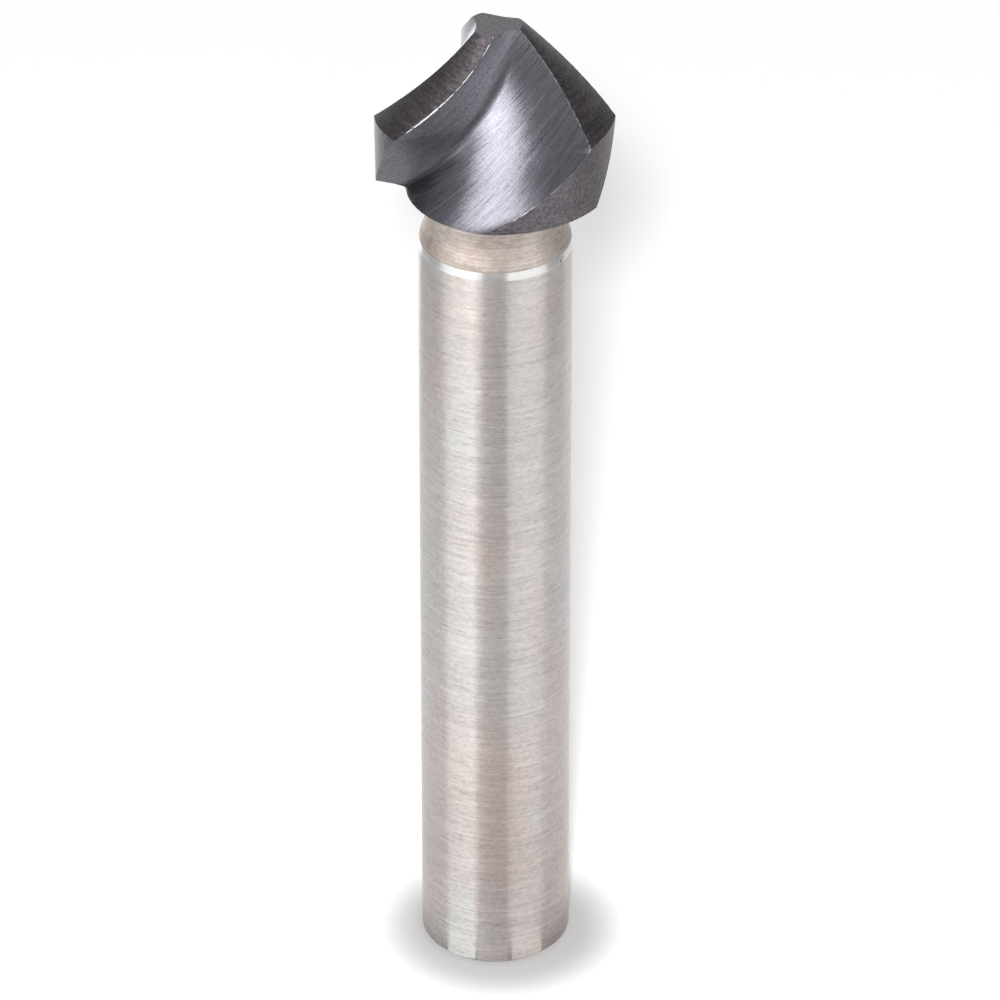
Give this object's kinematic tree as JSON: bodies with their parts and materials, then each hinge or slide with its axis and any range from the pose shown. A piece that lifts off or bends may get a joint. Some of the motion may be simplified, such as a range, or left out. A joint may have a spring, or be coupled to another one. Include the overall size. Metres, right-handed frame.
{
  "type": "countersink bit",
  "caption": "Three-flute 90 degree countersink bit with spiral flutes, relieved cutting lands, a coated conical head and a plain straight shank.",
  "frame": {"origin": "on the tool's axis, at the flat end of the shank", "axes": "+Z along the axis from the shank end to the cutting tip; the first tooth's cutting edge starts at the tip near -Y"},
  "size_m": [0.0123, 0.0123, 0.056],
  "materials": {
    "tool_steel": "ground shank and a dark violet-grey coated head"
  },
  "bodies": {
    "root": {"countersink_bit": "tool_steel"}
  },
  "joints": []
}
